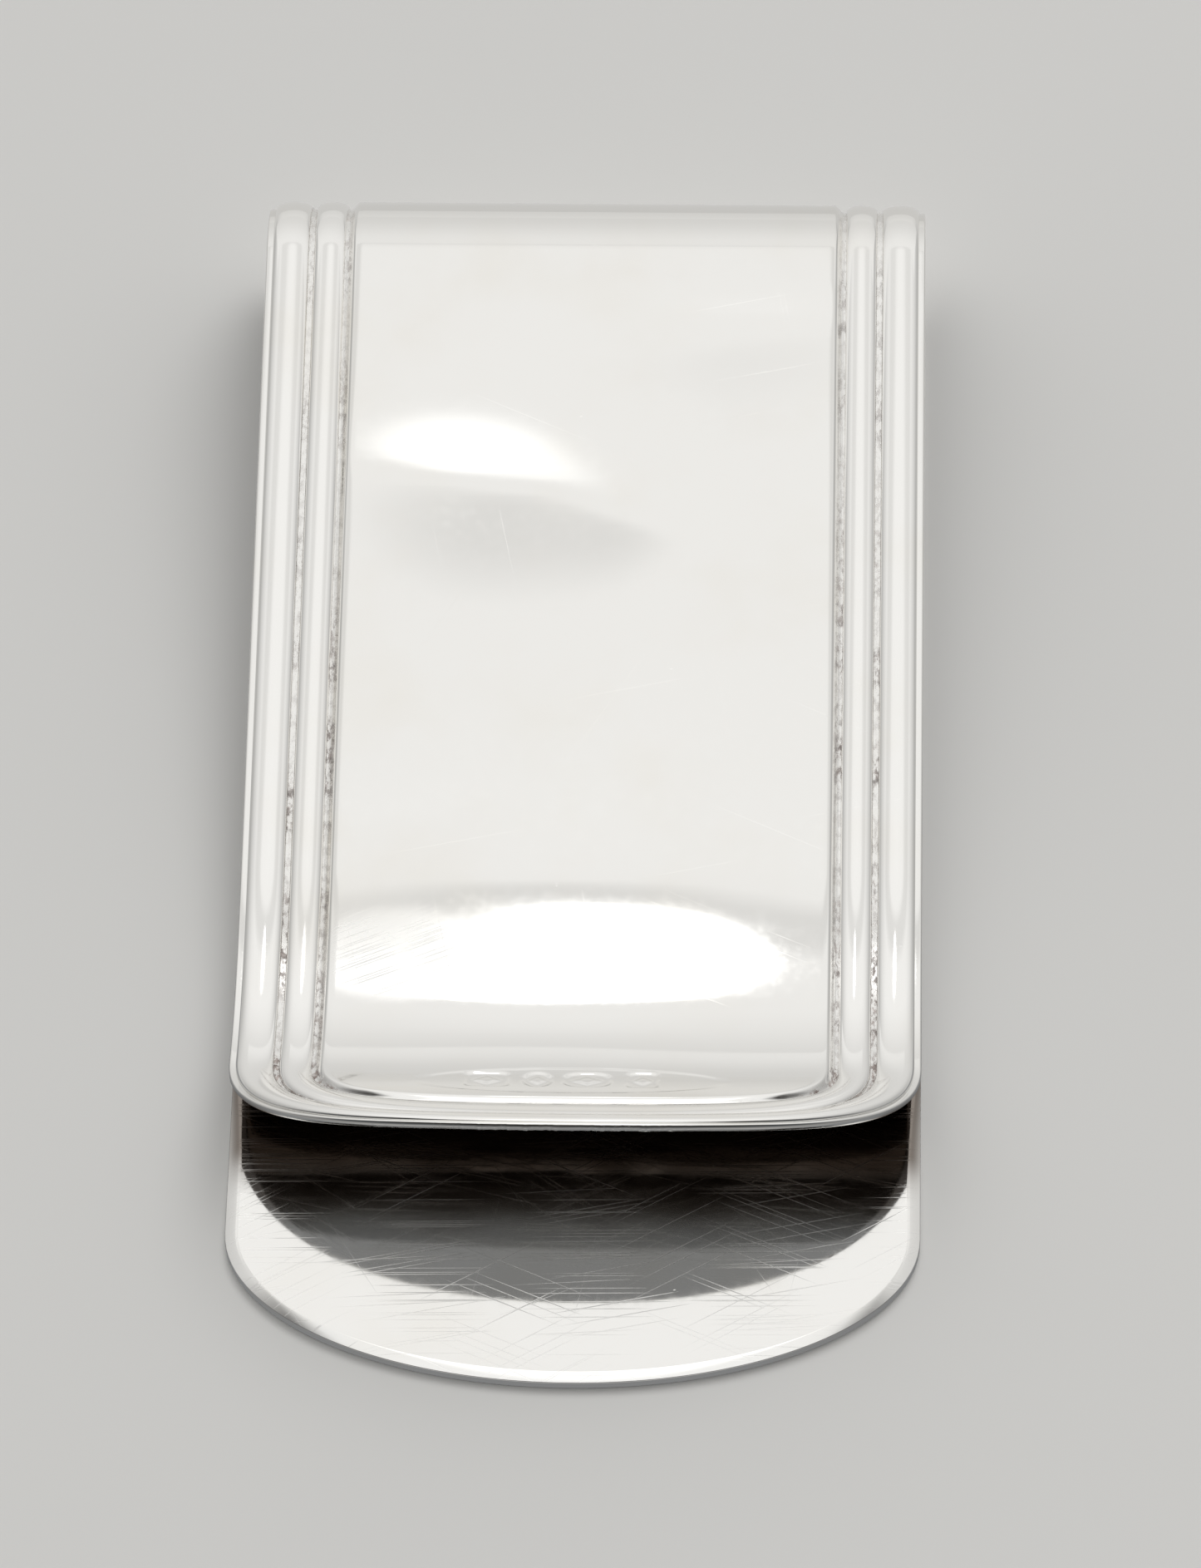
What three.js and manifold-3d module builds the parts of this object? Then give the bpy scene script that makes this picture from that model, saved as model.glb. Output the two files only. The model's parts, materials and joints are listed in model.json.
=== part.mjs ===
// A sterling silver money clip: one strip of sheet bent into a long U, with two half-round
// reeds laid in a rebate round the border of its front leaf.
// Millimetres, +Z up. The back leaf lies flat with its underside at z = 0, its rounded tip at -Y
// and the bend at +Y, and the YZ plane is the plane of symmetry.
import * as THREE from "three";
import { mergeVertices } from "three/addons/utils/BufferGeometryUtils.js";
import Module from "manifold-3d";

// Driving dimensions.
const LENGTH = 50.8; // from the back leaf's tip to the outside of the bend
const WIDTH = 25.4;
const THICKNESS = 0.55; // of the sheet
const BEND_OUTER_RADIUS = 3.15;
const FRONT_FALL = THREE.MathUtils.degToRad(8.3); // slope of the front leaf, down from the bend
const FRONT_STRAIGHT = 26.5; // length of the front leaf before it starts to curl
const CURL_LENGTH = 15.6; // length of sheet in the curl
const CURL_GROWTH = 1.5; // power by which the curl's slope grows towards the lip's edge
const LIP_RISE = THREE.MathUtils.degToRad(59); // slope of the lip at its free edge
const BACK_END_REACH = 6.2; // length of the back leaf's rounded end
const FRONT_END_REACH = 6.7; // length of the lip's rounded end, measured along the sheet
const BEVEL_WIDTH = 0.35; // of the bevel round the inside of the back leaf
const BEVEL_DEPTH = 0.2;
const REBATE_DEPTH = 0.28; // of the border, below the front leaf's field
const REED_HEIGHT = 0.25; // with the solder, level with the field
const SOLDER = 0.03; // film between a reed and the floor of the rebate
const FLEX_GAP = 0.08; // slit at the top of the bend, where the two halves of the strip turn

// The lip's outlines in the flat blank, from the edge inwards: half width on the straight sides,
// reach of the rounded end, and the power of the superellipse that rounds its corners.
const PLATE_EDGE = { half: WIDTH / 2, reach: FRONT_END_REACH, power: 2.2 };
const OUTER_REED_OUT = { half: 12.45, reach: 6.45, power: 2.2 };
const OUTER_REED_IN = { half: 11.05, reach: 5.1, power: 2.5 };
const INNER_REED_OUT = { half: 10.85, reach: 4.9, power: 2.6 };
const INNER_REED_IN = { half: 9.65, reach: 3.3, power: 3.2 };
const FIELD_EDGE = { half: 9.2, reach: 2.95, power: 3.5 };
const BACK_EDGE = { half: WIDTH / 2, reach: BACK_END_REACH, power: 2 };
const BACK_RIM = {
  half: BACK_EDGE.half - BEVEL_WIDTH,
  reach: BACK_EDGE.reach - BEVEL_WIDTH,
  power: 2,
};

// Fineness of the facets.
const BEND_STEPS = 10; // in each half of the bend
const CURL_STEP = 0.8;
const END_STEPS = 14; // from a side to the tip of a rounded end
const REED_SIDES = 8;
const TIP_ANGLE = THREE.MathUtils.degToRad(87); // a rounded end closes on a short flat here

// Worked out from them.
const MID = THICKNESS / 2; // offset from the middle of the sheet to either face
const FLOOR = MID - REBATE_DEPTH;
const BEND_RADIUS = BEND_OUTER_RADIUS - MID;
const BEND_TURN = Math.PI + FRONT_FALL;
const BACK_TIP_Y = -LENGTH / 2;
const BEND_Y = LENGTH / 2 - BEND_OUTER_RADIUS;

// Lengths along the middle of the strip, from the back leaf's tip.
const BEND_START = BEND_Y - BACK_TIP_Y;
const BEND_MIDDLE = BEND_START + (BEND_RADIUS * Math.PI) / 2;
const BEND_END = BEND_START + BEND_RADIUS * BEND_TURN;
const CURL_START = BEND_END + FRONT_STRAIGHT;
const LIP_END = CURL_START + CURL_LENGTH;
const LIP_CORNERS = LIP_END - FRONT_END_REACH;
const REED_TAIL_END = BEND_START + BEND_RADIUS * THREE.MathUtils.degToRad(22);

const silver = new THREE.MeshStandardMaterial({ color: 0xe9e8e4, roughness: 0.16, metalness: 1 });
const reedSilver = new THREE.MeshStandardMaterial({ color: 0xe4e2dd, roughness: 0.2, metalness: 1 });

const wasm = await Module();
wasm.setup();

// Direction of the strip at a length along it, as an angle in the YZ plane: 0 along +Y, a right
// angle along +Z. The curl starts gently and is steepest at the lip's edge.
function heading(along) {
  if (along <= BEND_START) return 0;
  if (along <= BEND_END) return (along - BEND_START) / BEND_RADIUS;
  if (along <= CURL_START) return BEND_TURN;
  const share = (along - CURL_START) / CURL_LENGTH;
  return BEND_TURN - (FRONT_FALL + LIP_RISE) * share ** CURL_GROWTH;
}

// Middle of the strip at a length along it. The curl has no closed form, so it is summed in
// short steps.
function middle(along) {
  if (along <= BEND_START) return { y: BACK_TIP_Y + along, z: MID };
  const turned = Math.min(heading(along), BEND_TURN);
  if (along <= BEND_END)
    return {
      y: BEND_Y + BEND_RADIUS * Math.sin(turned),
      z: BEND_OUTER_RADIUS - BEND_RADIUS * Math.cos(turned),
    };
  const start = middle(BEND_END);
  const straight = Math.min(along, CURL_START) - BEND_END;
  const point = {
    y: start.y + straight * Math.cos(BEND_TURN),
    z: start.z + straight * Math.sin(BEND_TURN),
  };
  if (along <= CURL_START) return point;
  const steps = Math.ceil((along - CURL_START) / 0.1);
  const step = (along - CURL_START) / steps;
  for (let i = 0; i < steps; i++) {
    const direction = heading(CURL_START + (i + 0.5) * step);
    point.y += step * Math.cos(direction);
    point.z += step * Math.sin(direction);
  }
  return point;
}

// Bends a point of the flat blank: x across, along the strip, and off its middle, towards the
// outside of the bend.
function bent(x, along, off) {
  const direction = heading(along);
  const point = middle(along);
  return new THREE.Vector3(
    x,
    point.y + off * Math.sin(direction),
    point.z - off * Math.cos(direction),
  );
}

// A point on a rounded end: angle 0 is on the -X side, a right angle is the tip. The corners
// start at the given length, and way is 1 for the lip and -1 for the back leaf.
function endPoint(edge, angle, corners, way) {
  const across = Math.cos(angle);
  const down = Math.abs(Math.sin(angle));
  return {
    x: -edge.half * Math.sign(across) * Math.abs(across) ** (2 / edge.power),
    along: corners + way * edge.reach * down ** (2 / edge.power),
  };
}

// Closed geometry through rings of points, each ring counter-clockwise seen from the ring before.
function loft(rings) {
  const sides = rings[0].length;
  const positions = rings.flat().flatMap((p) => p.toArray());
  const index = [];
  for (let r = 0; r + 1 < rings.length; r++)
    for (let i = 0; i < sides; i++) {
      const here = r * sides + i;
      const next = r * sides + ((i + 1) % sides);
      index.push(here, here + sides, next + sides, here, next + sides, next);
    }
  const last = (rings.length - 1) * sides;
  for (let i = 1; i + 1 < sides; i++) {
    index.push(0, i, i + 1);
    index.push(last, last + i + 1, last + i);
  }
  const geometry = new THREE.BufferGeometry();
  geometry.setAttribute("position", new THREE.Float32BufferAttribute(positions, 3));
  geometry.setIndex(index);
  return geometry;
}

function solid(geometry) {
  const merged = mergeVertices(geometry, 1e-5);
  return new wasm.Manifold(
    new wasm.Mesh({
      numProp: 3,
      vertProperties: merged.attributes.position.array,
      triVerts: new Uint32Array(merged.index.array),
    }),
  );
}

function joined(...geometries) {
  const sum = geometries.map(solid).reduce((a, b) => a.add(b));
  const mesh = sum.getMesh();
  const geometry = new THREE.BufferGeometry();
  geometry.setAttribute("position", new THREE.BufferAttribute(mesh.vertProperties, 3));
  geometry.setIndex(new THREE.BufferAttribute(mesh.triVerts, 1));
  return geometry;
}

// Lengths from start to end in equal steps no longer than the given one.
function stations(start, end, longest) {
  const steps = Math.ceil((end - start) / longest);
  return Array.from({ length: steps + 1 }, (_, i) => start + ((end - start) * i) / steps);
}

// Ring across the strip between two offsets from its middle.
function slabRing(half, along, inside, outside) {
  return [
    bent(-half, along, outside),
    bent(half, along, outside),
    bent(half, along, inside),
    bent(-half, along, inside),
  ];
}

// Straight-sided length of strip.
function slab(half, lengths, inside, outside) {
  return loft(lengths.map((along) => slabRing(half, along, inside, outside)));
}

const BEND_STEP = (BEND_MIDDLE - BEND_START) / BEND_STEPS;
const endAngles = stations(0, TIP_ANGLE, TIP_ANGLE / END_STEPS);

// Length of strip in the bend: the plate with its raised field between the two rebates.
function bendPiece(start, end) {
  const lengths = stations(start, end, BEND_STEP);
  return joined(
    slab(PLATE_EDGE.half, lengths, -MID, FLOOR),
    slab(FIELD_EDGE.half, lengths, -MID / 2, MID),
  );
}

// The front leaf's outline between two offsets, from the bend to the rounded end of the lip.
function frontSlab(edge, inside, outside) {
  const sides = [BEND_END, ...stations(CURL_START, LIP_CORNERS, CURL_STEP)];
  const rings = sides.map((along) => slabRing(edge.half, along, inside, outside));
  for (const angle of endAngles.slice(1)) {
    const left = endPoint(edge, angle, LIP_CORNERS, 1);
    rings.push(slabRing(-left.x, left.along, inside, outside));
  }
  return loft(rings);
}

function frontLeaf() {
  return joined(frontSlab(PLATE_EDGE, -MID, FLOOR), frontSlab(FIELD_EDGE, -MID / 2, MID));
}

// The back leaf: a flat plate with a rounded end and a bevel round its inside face.
function backLeaf() {
  const ring = (edge, rim) => [
    bent(edge.x, edge.along, MID),
    bent(-edge.x, edge.along, MID),
    bent(-edge.x, edge.along, BEVEL_DEPTH - MID),
    bent(-rim.x, rim.along, -MID),
    bent(rim.x, rim.along, -MID),
    bent(edge.x, edge.along, BEVEL_DEPTH - MID),
  ];
  const rings = endAngles
    .toReversed()
    .map((angle) =>
      ring(
        endPoint(BACK_EDGE, angle, BACK_END_REACH, -1),
        endPoint(BACK_RIM, angle, BACK_END_REACH, -1),
      ),
    );
  const side = (half) => ({ x: -half, along: BEND_START });
  rings.push(ring(side(BACK_EDGE.half), side(BACK_RIM.half)));
  return loft(rings);
}

// Section of a reed between a point on its outer edge and one on its inner edge.
function reedRing(outer, inner) {
  return Array.from({ length: REED_SIDES + 1 }, (_, i) => {
    const turn = (Math.PI * i) / REED_SIDES;
    const share = (1 - Math.cos(turn)) / 2;
    return bent(
      THREE.MathUtils.lerp(outer.x, inner.x, share),
      THREE.MathUtils.lerp(outer.along, inner.along, share),
      FLOOR + SOLDER + REED_HEIGHT * Math.sin(turn),
    );
  });
}

// A reed of the front leaf: from the top of the bend down the -X side, round the lip and back
// up the +X side.
function frontReed(outer, inner) {
  const bendSide = stations(BEND_MIDDLE + FLEX_GAP / 2, BEND_END, BEND_STEP);
  const leafSide = stations(CURL_START, LIP_CORNERS, CURL_STEP);
  const side = [...bendSide, ...leafSide].map((along) =>
    reedRing({ x: -outer.half, along }, { x: -inner.half, along }),
  );
  const end = stations(0, Math.PI, Math.PI / (2 * END_STEPS))
    .slice(1, -1)
    .map((angle) =>
      reedRing(
        endPoint(outer, angle, LIP_CORNERS, 1),
        endPoint(inner, angle, LIP_CORNERS, 1),
      ),
    );
  const mirrored = side
    .toReversed()
    .map((ring) => ring.map((p) => new THREE.Vector3(-p.x, p.y, p.z)));
  return loft([...side, ...end, ...mirrored]);
}

// The tail of a reed, round the lower half of the bend. way is -1 on the -X side.
function reedTail(outer, inner, way) {
  const lengths = stations(REED_TAIL_END, BEND_MIDDLE - FLEX_GAP / 2, BEND_STEP);
  const rings = lengths.map((along) =>
    reedRing({ x: way * outer.half, along }, { x: way * inner.half, along }),
  );
  return loft(way < 0 ? rings : rings.toReversed());
}

function named(name, geometry, material) {
  const mesh = new THREE.Mesh(geometry, material);
  mesh.name = name;
  return mesh;
}

const backHalf = new THREE.Group();
backHalf.add(
  named("back_leaf", backLeaf(), silver),
  named("bend_back_half", bendPiece(BEND_START, BEND_MIDDLE - FLEX_GAP / 2), silver),
);
for (const [side, way] of [["left", -1], ["right", 1]])
  backHalf.add(
    named(`outer_reed_tail_${side}`, reedTail(OUTER_REED_OUT, OUTER_REED_IN, way), reedSilver),
    named(`inner_reed_tail_${side}`, reedTail(INNER_REED_OUT, INNER_REED_IN, way), reedSilver),
  );

const frontHalf = new THREE.Group();
frontHalf.add(
  named("bend_front_half", bendPiece(BEND_MIDDLE + FLEX_GAP / 2, BEND_END), silver),
  named("front_leaf", frontLeaf(), silver),
  named("outer_reed", frontReed(OUTER_REED_OUT, OUTER_REED_IN), reedSilver),
  named("inner_reed", frontReed(INNER_REED_OUT, INNER_REED_IN), reedSilver),
);

const clip = new THREE.Group();
clip.add(backHalf, frontHalf);
export default clip;
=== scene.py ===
"""A sterling silver money clip: one sprung strip with two half-round reeds round its front leaf.

The strip and the reeds are built as flat blanks, in coordinates across the strip, along its middle
and off its middle, and then bent along the same line as the CAD solids. Metres, +Z up.
"""

import json
import math

import bmesh
import bpy
import numpy as np
from mathutils import Matrix, Vector


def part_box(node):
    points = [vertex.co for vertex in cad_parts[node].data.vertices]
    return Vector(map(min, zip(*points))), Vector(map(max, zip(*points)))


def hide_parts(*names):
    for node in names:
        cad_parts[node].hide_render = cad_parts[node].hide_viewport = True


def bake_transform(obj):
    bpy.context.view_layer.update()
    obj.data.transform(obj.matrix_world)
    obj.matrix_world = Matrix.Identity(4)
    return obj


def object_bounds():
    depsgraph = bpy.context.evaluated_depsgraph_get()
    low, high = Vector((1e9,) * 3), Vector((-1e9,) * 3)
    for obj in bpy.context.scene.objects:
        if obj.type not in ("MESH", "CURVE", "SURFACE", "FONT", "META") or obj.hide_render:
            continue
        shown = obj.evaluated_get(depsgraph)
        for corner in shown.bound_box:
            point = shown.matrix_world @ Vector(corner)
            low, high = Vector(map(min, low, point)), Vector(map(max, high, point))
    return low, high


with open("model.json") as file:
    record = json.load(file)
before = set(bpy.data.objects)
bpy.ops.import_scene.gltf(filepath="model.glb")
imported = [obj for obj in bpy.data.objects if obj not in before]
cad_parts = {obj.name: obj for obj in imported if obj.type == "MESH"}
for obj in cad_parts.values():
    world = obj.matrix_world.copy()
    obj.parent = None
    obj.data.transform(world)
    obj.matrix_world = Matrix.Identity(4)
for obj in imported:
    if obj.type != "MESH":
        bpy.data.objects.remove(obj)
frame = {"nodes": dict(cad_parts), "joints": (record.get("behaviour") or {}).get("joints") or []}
cad_low, cad_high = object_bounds()

MM = 0.001

# Sizes that the frame gives.
HINGE = Vector(frame["joints"][0]["pos_m"])
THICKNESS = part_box("back_leaf")[1].z
HALF_WIDTH = cad_high.x
BACK_TIP_Y = cad_low.y
BEND_OUTER_RADIUS = HINGE.z
BEND_Y = cad_high.y - BEND_OUTER_RADIUS

# Driving dimensions of the strip.
FRONT_FALL = math.radians(8.3)
FRONT_STRAIGHT = 26.5 * MM
CURL_LENGTH = 15.6 * MM
CURL_GROWTH = 1.5
LIP_RISE = math.radians(59)
BACK_END_REACH = 6.2 * MM
REBATE_DEPTH = 0.28 * MM
REED_HEIGHT = 0.25 * MM
REED_LIFT = 0.03 * MM
REBATE_WALL = 0.36 * MM
ARRIS = 0.07 * MM
BEVEL_WIDTH = 0.40 * MM
BEVEL_DEPTH = 0.155 * MM
BEVEL_FADE = (9 * MM, 15 * MM)
REED_TAIL_START = math.radians(20)
REED_TAPER = 1.6 * MM
CROWN = 0.08 * MM

# Outlines of the lip from the edge inwards: half width, reach of the rounded end, and the power
# of the superellipse that rounds the corners.
PLATE_EDGE = (HALF_WIDTH, 6.7 * MM, 2.2)
OUTER_REED_OUT = (12.45 * MM, 6.45 * MM, 2.2)
OUTER_REED_IN = (11.05 * MM, 5.1 * MM, 2.5)
INNER_REED_OUT = (10.85 * MM, 4.9 * MM, 2.6)
INNER_REED_IN = (9.65 * MM, 3.3 * MM, 3.2)
FIELD_EDGE = (9.2 * MM, 2.95 * MM, 3.5)
OUTLINES = [FIELD_EDGE, INNER_REED_IN, INNER_REED_OUT, OUTER_REED_IN, OUTER_REED_OUT, PLATE_EDGE]

# Worked out from them.
MID = THICKNESS / 2
BEND_RADIUS = BEND_OUTER_RADIUS - MID
BEND_TURN = math.pi + FRONT_FALL
BEND_START = BEND_Y - BACK_TIP_Y
BEND_END = BEND_START + BEND_RADIUS * BEND_TURN
CURL_START = BEND_END + FRONT_STRAIGHT
LIP_END = CURL_START + CURL_LENGTH
LIP_CORNERS = LIP_END - PLATE_EDGE[1]
TAIL_START = BEND_START + BEND_RADIUS * REED_TAIL_START


# ---------------------------------------------------------------- the bent middle line


def heading(along):
    """Direction of the strip in the YZ plane: 0 along +Y, a right angle along +Z."""
    turned = np.clip((along - BEND_START) / BEND_RADIUS, 0, BEND_TURN)
    share = np.clip((along - CURL_START) / CURL_LENGTH, 0, None)
    return turned - (FRONT_FALL + LIP_RISE) * share**CURL_GROWTH


LINE_STEP = 0.01 * MM
line_along = np.arange(-1 * MM, LIP_END + 1 * MM, LINE_STEP)
line_heading = heading(line_along + LINE_STEP / 2)
line_y = np.concatenate([[0], np.cumsum(np.cos(line_heading) * LINE_STEP)[:-1]])
line_z = np.concatenate([[0], np.cumsum(np.sin(line_heading) * LINE_STEP)[:-1]])
line_y += BACK_TIP_Y - np.interp(0, line_along, line_y)
line_z += MID - np.interp(0, line_along, line_z)


def bent(x, along, off):
    """Points of the flat blank, bent to shape, as an array of rows x, y, z."""
    direction = heading(along)
    y = np.interp(along, line_along, line_y) + off * np.sin(direction)
    z = np.interp(along, line_along, line_z) - off * np.cos(direction)
    return np.stack([x, y, z], -1)


def smooth(low, high, value):
    """0 at low and 1 at high, eased at both. Low may be the larger of the two."""
    t = np.clip((value - low) / (high - low), 0, 1)
    return t * t * (3 - 2 * t)


# ---------------------------------------------------------------- dents and punched marks

# Shallow dents of the front leaf: across, back from the lip's edge, half length, half widths of
# the far and the near wall, turn in degrees, depth. A negative depth is a swelling.
DENTS = [
    (-4.3, 31.9, 5.4, 2.35, 4.0, -7, 0.235),
    (0.8, 30.5, 2.4, 1.0, 2.2, -22, 0.050),
    (6.0, 38.2, 5.5, 5.0, 3.0, 8, 0.060),
    (-0.8, 15.3, 8.0, 6.5, 2.1, 0, 0.135),
    (-1.2, 8.2, 6.0, 3.0, 2.4, 0, 0.125),
    (-6.5, 17.6, 3.0, 1.6, 1.6, 12, 0.012),
    (3.0, 25.0, 7.0, 6.0, 6.0, 0, -0.030),
]
# 2 would be a round-bottomed dent, and less has a sharper crease along it.
DENT_POWER = 1.5

# Plain punches on the lip, each with one raised lozenge: across, back from the lip's edge, half
# width, half height, and how square the outline is (2 is an ellipse, a large number a rectangle).
MARKS = [
    (-3.17, 5.20, 0.78, 0.50, 7),
    (-1.32, 5.20, 0.52, 0.52, 2),
    (0.50, 5.20, 0.85, 0.50, 3),
    (2.53, 5.20, 0.55, 0.52, 7),
]
MARK_DEPTH = 0.050 * MM
MARK_RELIEF = 0.040 * MM
# Shares of a punch's half size: how wide its wall is, and where its lozenge begins and is full.
MARK_WALL = 0.16
LOZENGE_EDGE = (0.85, 0.25)

# The punches pushed a shallow oval of the sheet down round them: across, back, half sizes, depth.
# Its rim is between two shares of those half sizes.
PUNCHED_OVAL = (-0.10, 5.05, 5.7, 0.95, 0.014)
OVAL_RIM = (1.03, 0.95)

# Back from the lip's edge, in millimetres: where the crown of the field begins and is full, at
# its lip end and at its bend end.
CROWN_LIP_END = (4, 9)
CROWN_BEND_END = (24, 11)


def pressed(x, along):
    """How far the front leaf's field is pressed in by its dents and its punches."""
    back = LIP_END - along
    total = np.zeros_like(x)
    for x0, back0, length, far_width, near_width, turn, depth in DENTS:
        c, s = math.cos(math.radians(turn)), math.sin(math.radians(turn))
        across, down = x / MM - x0, back / MM - back0
        u, v = (c * across + s * down) / length, c * down - s * across
        v = np.where(v > 0, v / far_width, v / near_width)
        total += depth * MM * np.exp(-(u**2 + np.abs(v) ** DENT_POWER))
    for x0, back0, half_width, half_height, power in MARKS:
        u, v = (x / MM - x0) / half_width, (back / MM - back0) / half_height
        edge = (np.abs(u) ** power + np.abs(v) ** power) ** (1 / power)
        inside = smooth(1 + MARK_WALL / 2, 1 - MARK_WALL / 2, edge)
        lozenge = smooth(*LOZENGE_EDGE, np.abs(u) + np.abs(v))
        total += inside * MARK_DEPTH - lozenge * MARK_RELIEF
    x0, back0, half_width, half_height, depth = PUNCHED_OVAL
    edge = np.hypot((x / MM - x0) / half_width, (back / MM - back0) / half_height)
    return total + smooth(*OVAL_RIM, edge) * depth * MM


def crowned(x, along):
    """How far the middle of the field stands above its edges, where the leaf starts to curl."""
    back = (LIP_END - along) / MM
    lengthways = smooth(*CROWN_LIP_END, back) * smooth(*CROWN_BEND_END, back)
    return CROWN * lengthways * np.clip(1 - (x / FIELD_EDGE[0]) ** 2, 0, 1)


# ---------------------------------------------------------------- meshes


def mesh_object(name, points, faces, flat_points, grime):
    """A closed smooth mesh. It keeps its flat-blank coordinates in millimetres, so that scratches
    follow the sheet round the bend, and how much dirt each point gathers."""
    mesh = bpy.data.meshes.new(name)
    mesh.from_pydata(points.tolist(), [], faces)
    blank = mesh.attributes.new("blank", "FLOAT_VECTOR", "POINT")
    blank.data.foreach_set("vector", (flat_points / MM).astype(np.float32).ravel())
    dirt = mesh.attributes.new("grime", "FLOAT", "POINT")
    dirt.data.foreach_set("value", grime.astype(np.float32))
    work = bmesh.new()
    work.from_mesh(mesh)
    bmesh.ops.recalc_face_normals(work, faces=work.faces)
    for face in work.faces:
        face.smooth = True
    work.to_mesh(mesh)
    work.free()
    obj = bpy.data.objects.new(name, mesh)
    bpy.context.scene.collection.objects.link(obj)
    return obj


def skin(rings, closed_ends=False):
    """Quads between rings of points, each ring a loop, and with closed_ends a face on each end."""
    count, sides = len(rings), len(rings[0])
    faces = []
    for r in range(count - 1):
        for i in range(sides):
            here, following = r * sides + i, r * sides + (i + 1) % sides
            faces.append((here, following, following + sides, here + sides))
    if closed_ends:
        faces.append(tuple(range(sides)))
        faces.append(tuple(range((count - 1) * sides, count * sides)))
    return faces


def outline_point(half, reach, power, angle):
    """Half breadth of a rounded end, and how far down the end it is, at an angle from its side."""
    return half * np.cos(angle) ** (2 / power), reach * np.sin(angle) ** (2 / power)


def even_angles(outlines, count):
    """Angles from 0 to a right angle, spaced evenly round the outlines on average."""
    fine = np.linspace(0, 1, 4001) ** 2 * (math.pi / 2)
    fine = np.unique(np.concatenate([fine, math.pi / 2 - fine]))
    travelled = np.zeros_like(fine)
    for half, reach, power in outlines:
        x, down = outline_point(half, reach, power, fine)
        travelled[1:] += np.cumsum(np.hypot(np.diff(x), np.diff(down)))
    return np.interp(np.linspace(0, travelled[-1], count), travelled, fine)


def lip_outline(half):
    """Reach and power of the lip's outline at a half width, between the named outlines."""
    halves, reaches, powers = zip(*OUTLINES)
    return np.interp(half, halves, reaches), np.interp(half, halves, powers)


# Columns of the strip's section, from the middle to the edge. The outer face has the field, the
# wall of the rebate and its floor, and the inner face has the bevel.
FIELD_HALF = FIELD_EDGE[0]
field_columns = np.concatenate([np.linspace(0, 5.3, 62), np.linspace(5.3, 9.2, 17)[1:]]) * MM
wall_columns = FIELD_HALF + REBATE_WALL * np.linspace(0, 1, 7)[1:]
floor_columns = np.array([9.65, 10.2, 10.75, 10.85, 10.95, 11.05, 11.7, 12.3, 12.5]) * MM
arris_turns = np.radians([0, 22, 45, 68, 90])
# Shares of the bevel's width from the edge inwards, and the power that keeps it nearly flat.
bevel_shares = np.array([0, 0.06, 0.16, 0.4, 0.7, 0.88, 0.96, 1])
BEVEL_POWER = 1.1
outer_halves = np.concatenate([field_columns, wall_columns, floor_columns])
inner_columns = np.concatenate([np.linspace(0, 11.6, 24), [12.0, 12.2]]) * MM
INNER_MARGIN = 0.02 * MM

# Lengths between which the border gets its depth, where the reeds' tails start on the bend.
RUN_OUT = (TAIL_START - 0.7 * MM, TAIL_START + 0.5 * MM)


def rebate(half, along):
    """Depth of the border below the field. It runs out round the lower half of the bend."""
    deep = smooth(FIELD_HALF, FIELD_HALF + REBATE_WALL, half)
    return REBATE_DEPTH * deep * smooth(*RUN_OUT, along)


def bevel_share(along):
    """1 where the inner edge has its full bevel, and 0 where it has only an arris."""
    return 1 - smooth(*BEVEL_FADE, along)


def strip_ring(along, angle, end):
    """One ring round the strip's section. end is -1 in the back leaf's rounded end, 1 in the
    lip's and 0 between them; angle runs from 0 at the corners to a right angle at the tip."""

    def place(half):
        if end == 0:
            return half, np.full_like(half, along)
        if end > 0:
            reach, power = lip_outline(half)
            wide, down = outline_point(half, reach, power, angle)
            return wide, LIP_CORNERS + down
        reach = BACK_END_REACH - (HALF_WIDTH - half)
        wide, down = outline_point(half, reach, 2, angle)
        return wide, BACK_END_REACH - down

    # Outer face: the field's points share one length along the strip, set by the field's edge.
    x_out, a_out = place(np.maximum(outer_halves, FIELD_HALF))
    inside_field = outer_halves < FIELD_HALF
    x_out = np.where(inside_field, x_out * outer_halves / FIELD_HALF, x_out)
    off_out = MID - rebate(outer_halves, a_out)

    # The edge: a round arris on the outer side, and the bevel or arris on the inner side.
    arris_half = HALF_WIDTH - ARRIS * (1 - np.sin(arris_turns))
    x_top, a_top = place(arris_half)
    off_top = MID - rebate(arris_half, a_top) - ARRIS * (1 - np.cos(arris_turns))
    share = bevel_share(a_top[-1])
    wide = ARRIS + (BEVEL_WIDTH - ARRIS) * share
    deep = ARRIS + (BEVEL_DEPTH - ARRIS) * share
    bevel_half = HALF_WIDTH - wide * bevel_shares
    x_low, a_low = place(bevel_half)
    off_low = -MID + deep * (1 - bevel_shares) ** BEVEL_POWER

    # Inner face: its points share one length along the strip too.
    inner_edge = HALF_WIDTH - wide - INNER_MARGIN
    x_in, a_in = place(np.full_like(inner_columns, inner_edge))
    x_in = x_in * np.minimum(inner_columns / inner_edge, 1)
    off_in = np.full_like(x_in, -MID)

    x = np.concatenate([x_out, x_top, x_low, x_in[::-1]])
    a = np.concatenate([a_out, a_top, a_low, a_in[::-1]])
    off = np.concatenate([off_out, off_top, off_low, off_in[::-1]])
    # The right half from the middle of the outer face to the middle of the inner face, then the
    # left half back again without repeating the two middle points.
    left = slice(-2, 0, -1)
    return (
        np.concatenate([x, -x[left]]),
        np.concatenate([a, a[left]]),
        np.concatenate([off, off[left]]),
    )


# The strip's ends are so flat in the middle that they close straight across from here.
TIP_GAP = 0.4 * MM
LEAST_STEP = 0.002


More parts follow.
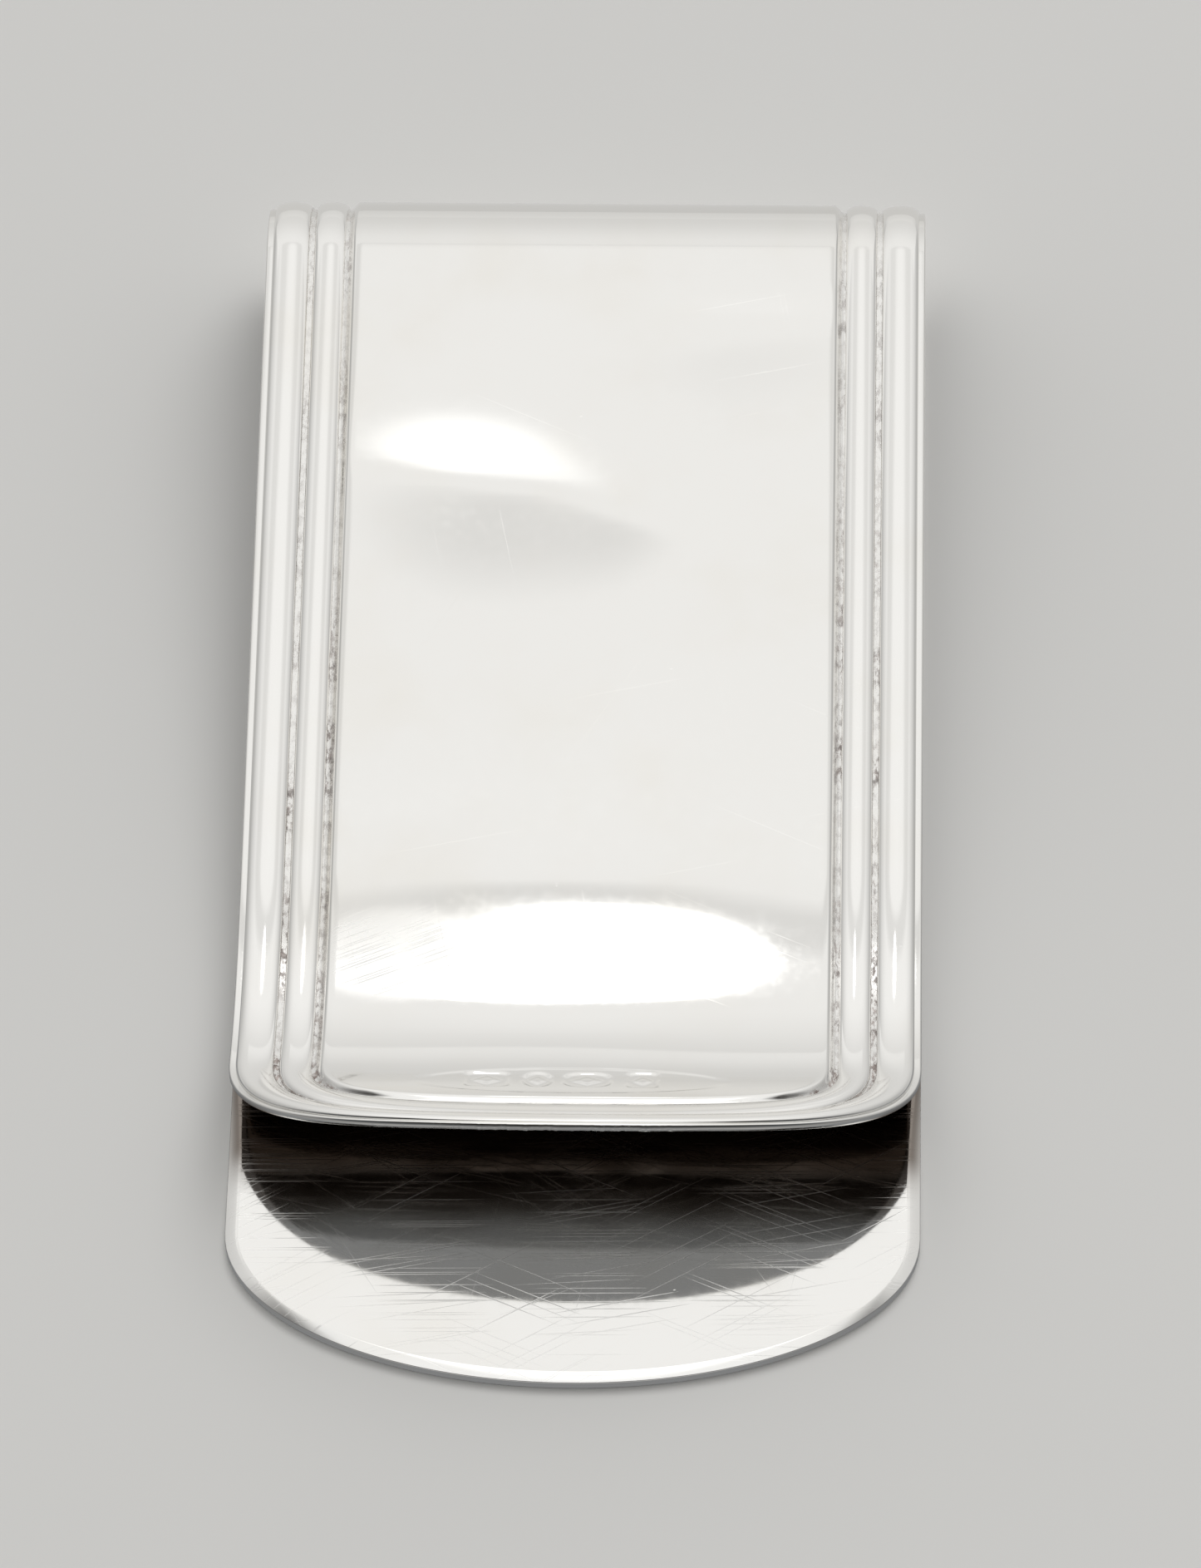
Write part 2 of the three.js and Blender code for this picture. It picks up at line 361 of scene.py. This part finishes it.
def short_of_tip(angles, power):
    """The angles up to where the strip's edge is TIP_GAP from the middle."""
    last = math.acos((TIP_GAP / HALF_WIDTH) ** (power / 2))
    return np.append(angles[angles < last - LEAST_STEP], last)


def strip_stations():
    """Length, angle and end of each ring, from the back leaf's tip to the lip's."""
    back = short_of_tip(even_angles([(HALF_WIDTH, BACK_END_REACH, 2)], 44), 2)
    yield from ((0, angle, -1) for angle in back[::-1])
    lengths = np.concatenate(
        [
            np.linspace(BACK_END_REACH, BEND_START - 2 * MM, 34)[1:],
            np.linspace(BEND_START - 2 * MM, BEND_END + 2 * MM, 90)[1:],
            np.linspace(BEND_END + 2 * MM, CURL_START, 62)[1:],
            np.linspace(CURL_START, LIP_CORNERS, 60)[1:],
        ]
    )
    yield from ((along, 0, 0) for along in lengths)
    lip = short_of_tip(even_angles([PLATE_EDGE, FIELD_EDGE, FIELD_EDGE], 150), PLATE_EDGE[2])
    yield from ((0, angle, 1) for angle in lip[1:])


def tip_faces(start):
    """Faces that close the strip straight across its end ring, whose points begin at start."""
    right_count = len(outer_halves) + len(arris_turns) + len(bevel_shares) + len(inner_columns)
    last = right_count - 1
    field_edge = len(field_columns) - 1
    bevel_end = last - len(inner_columns)

    def other(i):
        """The left-hand point opposite the right-hand point i."""
        return start + i if i in (0, last) else start + right_count + last - 1 - i

    middle = [start + i for i in range(0, field_edge + 2)]
    faces = [tuple(middle + [other(i) for i in range(field_edge + 1, 0, -1)])]
    for i in range(field_edge + 1, bevel_end):
        faces.append((start + i, start + i + 1, other(i + 1), other(i)))
    inside = [start + i for i in range(bevel_end, last + 1)]
    faces.append(tuple(inside + [other(i) for i in range(last - 1, bevel_end - 1, -1)]))
    return faces


def solder_burr(x, along, off):
    """Ragged burr left under the lip's edge, as an offset towards the inside of the bend."""
    near_edge = smooth(0.5 * MM, 0.1 * MM, LIP_END - along) * smooth(0, -0.6 * MID, off)
    span = smooth(8.2 * MM, 5.5 * MM, np.abs(x + 0.8 * MM))
    ragged = 0.5 + 0.5 * np.sin(x / MM * 9.1) * np.sin(x / MM * 3.7 + 1) * np.sin(x / MM * 17)
    return 0.05 * MM * near_edge * span * ragged


# Half widths in millimetres between which dirt gathers: where it begins and is full on the side
# of the field, and where it begins and is full on the side of the edge.
INNER_GROOVE = ((9.30, 9.50), (10.2, 9.7))
OUTER_GROOVE = ((10.5, 10.75), (11.6, 11.1))


def in_groove(groove, half):
    """1 in the bottom of a groove beside a reed, and 0 outside it."""
    return smooth(*groove[0], half / MM) * smooth(*groove[1], half / MM)


def build_strip():
    """The strip, with its dents, punches, crown and burr."""
    rings = [strip_ring(*station) for station in strip_stations()]
    x, along, off = (np.concatenate([ring[k] for ring in rings]) for k in range(3))
    half = column_half(rings)
    on_outer = smooth(-0.9 * MID, -0.2 * MID, off)
    in_grooves = in_groove(INNER_GROOVE, half) + in_groove(OUTER_GROOVE, half)
    grime = in_grooves * on_outer * smooth(TAIL_START, BEND_END, along)
    grime *= dirt_by_place(x, along)
    on_front = smooth(BEND_END + 1.5 * MM, BEND_END + 3.5 * MM, along)
    shift = -pressed(x, along) * on_front * (0.4 + 0.6 * on_outer)
    shift += crowned(x, along) * on_outer
    shift -= solder_burr(x, along, off)
    points = bent(x, along, off + shift)
    flat = np.stack([x, along, off], -1)
    across = [ring[0] for ring in rings]
    faces = skin(across) + tip_faces(0) + tip_faces((len(rings) - 1) * len(across[0]))
    return mesh_object("strip", points, faces, flat, grime)


def dirt_by_place(x, along):
    """Dirt packs the corners of the lip, thins out towards the bend, and is mostly rubbed off the
    middle of the lip."""
    share = 0.5 + 0.5 * smooth(BEND_END + 8 * MM, LIP_CORNERS - 12 * MM, along)
    share += 0.8 * smooth(LIP_CORNERS - 3 * MM, LIP_CORNERS + 1 * MM, along)
    between = smooth(8.8 * MM, 7.2 * MM, np.abs(x))
    return share * (1 - 0.9 * between * smooth(LIP_CORNERS, LIP_CORNERS + 1.5 * MM, along))


def column_half(rings):
    """The half width in the straight part of each point's column, for every ring."""
    straight = next(ring for ring, station in zip(rings, strip_stations()) if station[2] == 0)
    return np.tile(np.abs(straight[0]), len(rings))


# Sides of a reed's round, not counting its foot.
REED_SIDES = 26


def reed_ring(outer, inner, scale):
    """Section of a reed between a point on its outer edge and one on its inner edge, both as
    (across, along). scale thins it to nothing at its tail."""
    turn = np.linspace(0, math.pi, REED_SIDES + 1)
    share = 0.5 - 0.5 * np.cos(turn) * (0.35 + 0.65 * scale)
    x = outer[0] + (inner[0] - outer[0]) * share
    along = outer[1] + (inner[1] - outer[1]) * share
    base = MID - REBATE_DEPTH + REED_LIFT
    off = base + REED_HEIGHT * scale * np.sin(turn) ** 0.92
    foot = np.full(2, base - REED_LIFT * 1.4)
    return (
        np.concatenate([x, x[[-1, 0]]]),
        np.concatenate([along, along[[-1, 0]]]),
        np.concatenate([off, foot]),
    )


def build_reed(name, outer, inner, outer_grime):
    """A half-round wire: up the bend and down the -X side, round the lip, and back on +X.
    outer_grime is how dirty its outer foot is, beside its inner foot at 1."""
    tail = TAIL_START + np.linspace(0, 1, 14) ** 1.6 * REED_TAPER
    lengths = np.concatenate(
        [
            tail,
            np.linspace(tail[-1], BEND_END + 2 * MM, 66)[1:],
            np.linspace(BEND_END + 2 * MM, CURL_START, 60)[1:],
            np.linspace(CURL_START, LIP_CORNERS, 60)[1:],
        ]
    )
    side = []
    for along in lengths:
        scale = math.sqrt(min(1, max(0, along - TAIL_START) / REED_TAPER))
        side.append(reed_ring((-outer[0], along), (-inner[0], along), max(scale, 0.02)))
    end = []
    for angle in even_angles([outer, inner], 90)[1:]:
        wide_out, down_out = outline_point(*outer, angle)
        wide_in, down_in = outline_point(*inner, angle)
        end.append(
            reed_ring((-wide_out, LIP_CORNERS + down_out), (-wide_in, LIP_CORNERS + down_in), 1)
        )
    half = side + end
    mirrored = [(-x, along, off) for x, along, off in half[-2::-1]]
    rings = half + mirrored
    x, along, off = (np.concatenate([ring[k] for ring in rings]) for k in range(3))
    foot = MID - REBATE_DEPTH + REED_LIFT
    section = np.linspace(0, 1, REED_SIDES + 1)
    inward = np.concatenate([section, section[[-1, 0]]])
    side_grime = np.tile(outer_grime + (1 - outer_grime) * smooth(0.3, 0.7, inward), len(rings))
    grime = smooth(foot + 0.10 * MM, foot + 0.02 * MM, off) * side_grime * dirt_by_place(x, along)
    points = bent(x, along, off)
    flat = np.stack([x, along, off], -1)
    return mesh_object(name, points, skin([r[0] for r in rings], True), flat, grime)


# ---------------------------------------------------------------- materials


class Nodes:
    """Small helper that adds and links shader nodes."""

    def __init__(self, tree):
        self.tree = tree

    def add(self, kind, inputs=(), **settings):
        node = self.tree.nodes.new(kind)
        for key, value in settings.items():
            setattr(node, key, value)
        for key, value in dict(inputs).items():
            if hasattr(value, "is_output"):
                self.tree.links.new(value, node.inputs[key])
            else:
                node.inputs[key].default_value = value
        return node

    def math(self, operation, a, b=0.0, c=0.0):
        node = self.add("ShaderNodeMath", {0: a, 1: b, 2: c}, operation=operation)
        return node.outputs[0]

    def noise(self, vector, scale, detail=2.0, roughness=0.5):
        inputs = {"Vector": vector, "Scale": scale, "Detail": detail, "Roughness": roughness}
        return self.add("ShaderNodeTexNoise", inputs).outputs["Fac"]

    def remap(self, value, low, high, to_low=0.0, to_high=1.0):
        inputs = {"Value": value, "From Min": low, "From Max": high}
        inputs.update({"To Min": to_low, "To Max": to_high})
        node = self.add("ShaderNodeMapRange", inputs, interpolation_type="SMOOTHSTEP")
        return node.outputs["Result"]

    def mapped(self, vector, scale, turn=0.0, offset=0.0):
        """Turned, then divided by the scale, so that a noise is long in the turned direction."""
        inputs = {"Vector": vector, "Scale": scale, "Rotation": (0, 0, math.radians(turn))}
        inputs["Location"] = (offset, offset * 0.7, 0)
        return self.add("ShaderNodeMapping", inputs, vector_type="TEXTURE").outputs["Vector"]

    def blend(self, factor, a, b):
        node = self.add("ShaderNodeMix", {"Factor": factor}, data_type="RGBA")
        for socket, value in ((node.inputs[6], a), (node.inputs[7], b)):
            if hasattr(value, "is_output"):
                self.tree.links.new(value, socket)
            else:
                socket.default_value = value
        return node.outputs[2]


def scratches(n, blank, turn, length, width, kept, offset):
    """Hair scratches in one direction: needles of a stretched cell pattern, of which a share is
    kept. Length and width are in millimetres. The result is 1 on a scratch."""
    stretched = n.mapped(blank, (length, width, 1), turn, offset)
    cells = n.add(
        "ShaderNodeTexVoronoi",
        {"Vector": stretched, "Scale": 1.0, "Randomness": 1.0},
        feature="F1",
        voronoi_dimensions="2D",
    )
    needle = n.remap(cells.outputs["Distance"], 0.5, 0.15)
    lot = n.add("ShaderNodeSeparateColor", {0: cells.outputs["Color"]}).outputs[0]
    return n.math("MULTIPLY", needle, n.math("GREATER_THAN", lot, 1 - kept))


# Off the middle line, in millimetres: from 0 on the outer face to 1 on the inner face.
INNER_FACE = (0.0, -0.26)

# The inside between the leaves is never polished, and has gone brown. Along the strip, in
# millimetres: where the tarnish starts on the back leaf, and where it ends before the lip.
TARNISH = (0.25, 0.22, 0.197)
HIDDEN_FROM = (8.2, 10.6)
HIDDEN_TO = (LIP_END / MM - 3.4, LIP_END / MM - 1.8)

# Polish residue, from its dark crumbs to its pale film.
DARK_RESIDUE = (0.20, 0.16, 0.145)
PALE_RESIDUE = (0.50, 0.44, 0.41)

# A worn patch by the left end of the curl: across, back from the lip's edge, half sizes.
WORN_PATCH = (-7.2, 11.8, 4.0, 2.8)

# Families of scratches, as turn in degrees and offset of the pattern. Hair scratches lie anywhere,
# and the notes that the clip held rubbed the inner faces, mostly across.
HAIR_LENGTH = 8.0
HAIR_WIDTH = 0.034
HAIR_FAMILIES = [(-58, 11), (78, 23), (-12, 31)]
RUBBED_FAMILIES = [(4, 41), (-24, 51), (31, 63), (12, 77)]
HAIR_STRENGTH = 0.45
RUBBED_STRENGTH = 1.05


def brushed_patch(n, blank):
    """1 in the middle of the worn patch, fading to 0 round it."""
    across, back, half_width, half_height = WORN_PATCH
    inputs = {"Vector": blank, "Location": (across, LIP_END / MM - back, 0)}
    inputs["Scale"] = (half_width, half_height, 100)
    local = n.add("ShaderNodeMapping", inputs, vector_type="TEXTURE").outputs["Vector"]
    far = n.add("ShaderNodeVectorMath", {0: local}, operation="LENGTH").outputs["Value"]
    return n.remap(far, 1.0, 0.35)


def silver(name, colour, roughness, scratch_amount):
    """Worn sterling silver: faint tarnish and cloudy polish, hair scratches, tiny nicks, and
    brown-grey polish residue where the surface gathers dirt."""
    material = bpy.data.materials.new(name)
    material.use_nodes = True
    tree = material.node_tree
    tree.nodes.clear()
    n = Nodes(tree)
    blank = n.add("ShaderNodeAttribute", attribute_name="blank").outputs["Vector"]
    gathered = n.add("ShaderNodeAttribute", attribute_name="grime").outputs["Fac"]
    off = n.add("ShaderNodeSeparateXYZ", {0: blank}).outputs[2]
    inner_face = n.remap(off, *INNER_FACE)

    cloud = n.noise(blank, 0.16, 3.0, 0.55)
    fine = n.noise(blank, 2.6, 3.0, 0.6)
    hair = scratches(n, blank, 24, HAIR_LENGTH, HAIR_WIDTH, 0.010 * scratch_amount, 0)
    for turn, offset in HAIR_FAMILIES:
        kept = 0.008 * scratch_amount
        more = scratches(n, blank, turn, HAIR_LENGTH, HAIR_WIDTH, kept, offset)
        hair = n.math("MAXIMUM", hair, more)
    rubbed = scratches(n, blank, turn=1, length=6.0, width=0.048, kept=0.13, offset=37)
    for turn, offset in RUBBED_FAMILIES:
        more = scratches(n, blank, turn, 7.0, 0.052, 0.05, offset)
        rubbed = n.math("MAXIMUM", rubbed, more)
    rubbed = n.math("MULTIPLY", n.math("MULTIPLY", rubbed, RUBBED_STRENGTH), inner_face)
    worn = n.math("MULTIPLY", brushed_patch(n, blank), n.math("SUBTRACT", 1.0, inner_face))
    brushed = scratches(n, blank, turn=-24, length=3.0, width=0.045, kept=0.35, offset=71)
    brushed = n.math("MULTIPLY", brushed, worn)
    hair = n.math("MULTIPLY_ADD", hair, HAIR_STRENGTH, n.math("MAXIMUM", rubbed, brushed))
    pits = n.add("ShaderNodeTexVoronoi", {"Vector": blank, "Scale": 0.6, "Randomness": 1.0})
    nick = n.remap(pits.outputs["Distance"], 0.05, 0.02)
    nick = n.math("MULTIPLY", nick, n.remap(n.noise(blank, 0.9, 0.0), 0.58, 0.6))

    tarnished = [c * k for c, k in zip(colour, (0.95, 0.93, 0.89))] + [1]
    tint = n.blend(n.remap(cloud, 0.45, 0.8, 0.0, 0.5), [*colour, 1], tarnished)
    along = n.add("ShaderNodeSeparateXYZ", {0: blank}).outputs[1]
    start = n.math("MULTIPLY_ADD", n.noise(blank, 0.3, 2.0), 1.5, along)
    hidden = n.remap(start, *HIDDEN_FROM)
    hidden = n.math("MULTIPLY", hidden, n.remap(start, *HIDDEN_TO, 1.0, 0.0))
    tint = n.blend(n.math("MULTIPLY", hidden, inner_face), tint, [*TARNISH, 1])
    speckle = n.noise(n.mapped(blank, (1, 2.2, 1)), 4.5, 4.0, 0.7)
    patchy = n.remap(n.noise(blank, 0.35, 2.0), 0.38, 0.62, 0.25, 1.0)
    stuck = n.math("MULTIPLY", gathered, n.remap(speckle, 0.44, 0.62, 0.05, 0.9))
    stuck = n.math("MINIMUM", n.math("MULTIPLY", stuck, patchy), 1.0)
    residue = n.blend(n.remap(fine, 0.35, 0.7), [*DARK_RESIDUE, 1], [*PALE_RESIDUE, 1])
    base = n.blend(stuck, tint, residue)

    rough = n.remap(cloud, 0.3, 0.7, roughness * 0.8, roughness * 1.3)
    rough = n.math("ADD", rough, n.remap(fine, 0.4, 0.75, 0.0, 0.03))
    rough = n.math("MULTIPLY_ADD", hair, 0.22, rough)
    rough = n.math("MULTIPLY_ADD", stuck, 0.5, rough)
    rough = n.math("MULTIPLY_ADD", worn, 0.19, rough)

    height = n.math("MULTIPLY_ADD", hair, -0.5, n.math("MULTIPLY", fine, 0.12))
    height = n.math("MULTIPLY_ADD", nick, -1.2, height)
    height = n.math("MULTIPLY_ADD", stuck, 0.2, height)
    bump = n.add("ShaderNodeBump", {"Strength": 0.5, "Distance": 0.002 * MM, "Height": height})

    metal = n.math("SUBTRACT", 1.0, stuck)
    shader = n.add(
        "ShaderNodeBsdfPrincipled",
        {
            "Base Color": base,
            "Metallic": metal,
            "Roughness": rough,
            "Normal": bump.outputs["Normal"],
        },
    )
    out = n.add("ShaderNodeOutputMaterial")
    tree.links.new(shader.outputs["BSDF"], out.inputs["Surface"])
    return material


def matt(name, colour, variation):
    """Plain matt paper with a faint unevenness."""
    material = bpy.data.materials.new(name)
    material.use_nodes = True
    tree = material.node_tree
    tree.nodes.clear()
    n = Nodes(tree)
    where = n.add("ShaderNodeTexCoord").outputs["Object"]
    uneven = n.remap(n.noise(where, 9.0, 3.0), 0.3, 0.7, 1 - variation, 1.0)
    base = n.add("ShaderNodeVectorMath", {0: colour, "Scale": uneven}, operation="SCALE")
    shader = n.add(
        "ShaderNodeBsdfPrincipled", {"Base Color": base.outputs["Vector"], "Roughness": 0.9}
    )
    out = n.add("ShaderNodeOutputMaterial")
    tree.links.new(shader.outputs["BSDF"], out.inputs["Surface"])
    return material


# ---------------------------------------------------------------- the clip

STRIP_COLOUR = (0.885, 0.877, 0.858)
REED_COLOUR = (0.93, 0.922, 0.905)
strip_silver = silver("strip_silver", STRIP_COLOUR, roughness=0.055, scratch_amount=0.5)
reed_silver = silver("reed_silver", REED_COLOUR, roughness=0.07, scratch_amount=0.3)
for node in frame["nodes"].values():
    node.data.materials.clear()
    node.data.materials.append(reed_silver if "reed" in node.name else strip_silver)

strip = build_strip()
strip.data.materials.append(strip_silver)
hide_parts("back_leaf", "bend_back_half", "bend_front_half", "front_leaf")

outer_wire = build_reed("outer_reed_wire", OUTER_REED_OUT, OUTER_REED_IN, outer_grime=0.1)
inner_wire = build_reed("inner_reed_wire", INNER_REED_OUT, INNER_REED_IN, outer_grime=0.9)
for wire, reed in ((outer_wire, "outer_reed"), (inner_wire, "inner_reed")):
    wire.data.materials.append(reed_silver)
    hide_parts(reed, f"{reed}_tail_left", f"{reed}_tail_right")

for piece in (strip, outer_wire, inner_wire):
    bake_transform(piece)

# ---------------------------------------------------------------- floor, light and camera

FLOOR_SIZE = 3.0
FLOOR_COLOUR = (0.76, 0.755, 0.74)


def plane(name, size, height, material):
    """A square of the stage, level at a height."""
    mesh = bpy.data.meshes.new(name)
    half = size / 2
    corners = [(-half, -half, height), (half, -half, height), (half, half, height)]
    mesh.from_pydata([*corners, (-half, half, height)], [], [(0, 1, 2, 3)])
    mesh.materials.append(material)
    obj = bpy.data.objects.new(name, mesh)
    bpy.context.scene.collection.objects.link(obj)
    return obj


def glow(name, near_colour, far_colour, near, far):
    """Light of its own that changes from one colour to another along the object's Y."""
    material = bpy.data.materials.new(name)
    material.use_nodes = True
    tree = material.node_tree
    tree.nodes.clear()
    n = Nodes(tree)
    where = n.add("ShaderNodeTexCoord").outputs["Object"]
    away = n.remap(n.add("ShaderNodeSeparateXYZ", {0: where}).outputs[1], near, far)
    colour = n.blend(away, [*near_colour, 1], [*far_colour, 1])
    shader = n.add("ShaderNodeEmission", {"Color": colour, "Strength": 1.0})
    out = n.add("ShaderNodeOutputMaterial")
    tree.links.new(shader.outputs[0], out.inputs["Surface"])
    return material


def only_reflected(card):
    """A card that the silver mirrors, and that the camera, the floor and the shadows don't see."""
    card.visible_camera = False
    card.visible_diffuse = False
    card.visible_shadow = False
    card.visible_transmission = False


floor = plane("floor", FLOOR_SIZE, 0, matt("pale_paper", FLOOR_COLOUR, variation=0.03))
floor.visible_glossy = False
# A glowing card just under the floor, seen only in reflections: a painted reflection of a darker
# table than the one in view, dark on the near side and lighter on the far side.
NEAR_TABLE_REFLECTION = (0.235, 0.24, 0.245)
FAR_TABLE_REFLECTION = (0.62, 0.615, 0.60)
table_reflection_glow = glow("painted_table_reflection", NEAR_TABLE_REFLECTION, FAR_TABLE_REFLECTION, -20 * MM, 30 * MM)
only_reflected(plane("painted_table_reflection", FLOOR_SIZE, -0.02 * MM, table_reflection_glow))


def studio_world():
    """A white tent on the far side, brightest overhead, and a dark room on the near side."""
    world = bpy.data.worlds.new("studio")
    bpy.context.scene.world = world
    world.use_nodes = True
    tree = world.node_tree
    tree.nodes.clear()
    n = Nodes(tree)
    direction = n.add("ShaderNodeTexCoord").outputs["Generated"]
    split = n.add("ShaderNodeSeparateXYZ", {0: direction})

    def ramp(stops):
        node = n.add("ShaderNodeValToRGB", {"Fac": split.outputs[2]})
        elements = node.color_ramp.elements
        while len(elements) < len(stops):
            elements.new(0.5)
        for element, (elevation, colour) in zip(elements, stops):
            element.position = max(0.0, math.sin(math.radians(elevation)))
            element.color = (*colour, 1)
        return node.outputs["Color"]

    far = ramp(FAR_TENT)
    near = ramp(NEAR_ROOM)
    mixed = n.blend(n.remap(split.outputs[1], -0.30, 0.16), near, far)
    sideways = n.math("ABSOLUTE", split.outputs[0])
    strength = n.remap(sideways, 0.25, 0.90, 1.0, SIDE_STRENGTH)
    overhead = [math.sin(math.radians(e)) for e in OVERHEAD_GLOW]
    strength = n.math("ADD", strength, n.remap(split.outputs[2], *overhead, 0.0, 0.35))
    background = n.add("ShaderNodeBackground", {"Color": mixed, "Strength": strength})
    out = n.add("ShaderNodeOutputWorld")
    tree.links.new(background.outputs[0], out.inputs["Surface"])


# Colour of the tent and the room by elevation in degrees, and how much of it is left at the sides.
SIDE_STRENGTH = 0.62
OVERHEAD_GLOW = (74, 77.5)
FAR_TENT = [
    (0, (0.70, 0.695, 0.68)),
    (10, (0.73, 0.725, 0.71)),
    (20, (0.78, 0.775, 0.76)),
    (30, (0.87, 0.865, 0.85)),
    (40, (0.94, 0.935, 0.92)),
    (56, (0.94, 0.935, 0.92)),
    (61, (0.79, 0.785, 0.77)),
    (66, (0.79, 0.785, 0.77)),
    (69, (0.95, 0.945, 0.93)),
    (73, (0.95, 0.945, 0.93)),
    (77, (1.0, 1.0, 0.99)),
]
NEAR_ROOM = [
    (0, (0.50, 0.495, 0.485)),
    (14, (0.40, 0.395, 0.388)),
    (24, (0.24, 0.24, 0.24)),
    (32, (0.125, 0.13, 0.135)),
    (41, (0.080, 0.082, 0.083)),
    (47, (0.040, 0.037, 0.034)),
    (55, (0.016, 0.013, 0.011)),
    (60, (0.016, 0.013, 0.011)),
    (66, (1.0, 1.0, 0.99)),
]
studio_world()


def area_light(name, aim, azimuth, elevation, distance, size, radiance, glossy):
    """A lamp that faces a point. azimuth 0 is on the far side, and 90 on the +X side."""
    data = bpy.data.lights.new(name, "AREA")
    data.shape = "ELLIPSE"
    data.size, data.size_y = size
    data.energy = radiance * math.pi * (math.pi / 4 * size[0] * size[1])
    a, e = math.radians(azimuth), math.radians(elevation)
    towards = Vector((math.sin(a) * math.cos(e), math.cos(a) * math.cos(e), math.sin(e)))
    obj = bpy.data.objects.new(name, data)
    obj.matrix_world = Matrix.Translation(Vector(aim) + towards * distance) @ (
        towards.to_track_quat("Z", "Y").to_matrix().to_4x4()
    )
    obj.visible_glossy = glossy
    obj.visible_camera = False
    bpy.context.scene.collection.objects.link(obj)
    return obj


# A tall narrow lamp, which the curl mirrors as a bright oval, and a broad one on the right, which
# lights the floor and isn't mirrored.
CURL_BOTTOM = (0, -9 * MM, 3 * MM)
KEY_SIZE = (0.078, 0.335)
SOFT_SIZE = (0.7, 0.7)
key_place = {"azimuth": -2.56, "elevation": 54.8, "distance": 1.0}
soft_place = {"azimuth": 24, "elevation": 52, "distance": 0.9}
area_light("key", CURL_BOTTOM, **key_place, size=KEY_SIZE, radiance=1.6, glossy=True)
area_light("soft", (0, 0, 0), **soft_place, size=SOFT_SIZE, radiance=2.0, glossy=False)


def small_card(name, start, end, half_width, near_colour, far_colour):
    """A card between two points of the YZ plane, that only reflections show."""
    low, high = Vector((0, *start)), Vector((0, *end))
    reach = (high - low).length
    card = plane(name, 1.0, 0, glow(name, near_colour, far_colour, -0.5, 0.5))
    normal = Vector((1, 0, 0)).cross(high - low)
    turn = Matrix((Vector((1, 0, 0)), (high - low) / reach, normal / reach)).transposed()
    size = Matrix.Diagonal((2 * half_width, reach, 1, 1))
    card.matrix_world = Matrix.Translation((low + high) / 2) @ turn.to_4x4() @ size
    only_reflected(card)


# A glowing white card above the lip, a painted reflection that the back leaf's rounded end
# mirrors, and a glowing grey card past the bend, a painted reflection that hides the lamp's
# reflection in the bend.
WHITE = (0.97, 0.965, 0.95)
LOW_GREY = (0.73, 0.725, 0.71)
HIGH_GREY = (0.88, 0.875, 0.86)
above_end = Vector((BACK_TIP_Y + 14.2 * MM, 19.5 * MM))
painted_white_half = Vector((-3.9, 2.3)) * MM
painted_white_reflection = (above_end - painted_white_half, above_end + painted_white_half)
PAINTED_WHITE_HALF_WIDTH = 14.5 * MM
small_card("painted_white_reflection", *painted_white_reflection, PAINTED_WHITE_HALF_WIDTH, WHITE, WHITE)
bend_top = Vector((BEND_Y, 2 * BEND_OUTER_RADIUS))
painted_grey_reflection = (bend_top + Vector((11.6, 3.1)) * MM, bend_top + Vector((4.5, 11.1)) * MM)
PAINTED_GREY_HALF_WIDTH = 22 * MM
small_card("painted_grey_reflection", *painted_grey_reflection, PAINTED_GREY_HALF_WIDTH, LOW_GREY, HIGH_GREY)

# The camera looks down at the lip from the front, a little from the right.
CAMERA_ELEVATION = math.radians(55.9)
CAMERA_YAW = math.radians(2.89)
CAMERA_ROLL = math.radians(-1.88)
CAMERA_DISTANCE = 0.3407
CAMERA_AIM = Vector((0.56, 1.01, 0)) * MM
CAMERA_LENS = 207

forward = Vector(
    (
        -math.sin(CAMERA_YAW) * math.cos(CAMERA_ELEVATION),
        math.cos(CAMERA_YAW) * math.cos(CAMERA_ELEVATION),
        -math.sin(CAMERA_ELEVATION),
    )
)
level = Vector((math.cos(CAMERA_YAW), math.sin(CAMERA_YAW), 0))
upright = level.cross(forward)
right = level * math.cos(CAMERA_ROLL) + upright * math.sin(CAMERA_ROLL)
up = upright * math.cos(CAMERA_ROLL) - level * math.sin(CAMERA_ROLL)
camera_data = bpy.data.cameras.new("camera")
camera_data.lens = CAMERA_LENS
camera_data.clip_start = 10 * MM
camera_data.clip_end = 20
camera = bpy.data.objects.new("camera", camera_data)
axes = Matrix((right, up, -forward)).transposed().to_4x4()
camera.matrix_world = Matrix.Translation(CAMERA_AIM - forward * CAMERA_DISTANCE) @ axes
bpy.context.scene.collection.objects.link(camera)
bpy.context.scene.camera = camera
bpy.context.scene.view_settings.view_transform = "Standard"
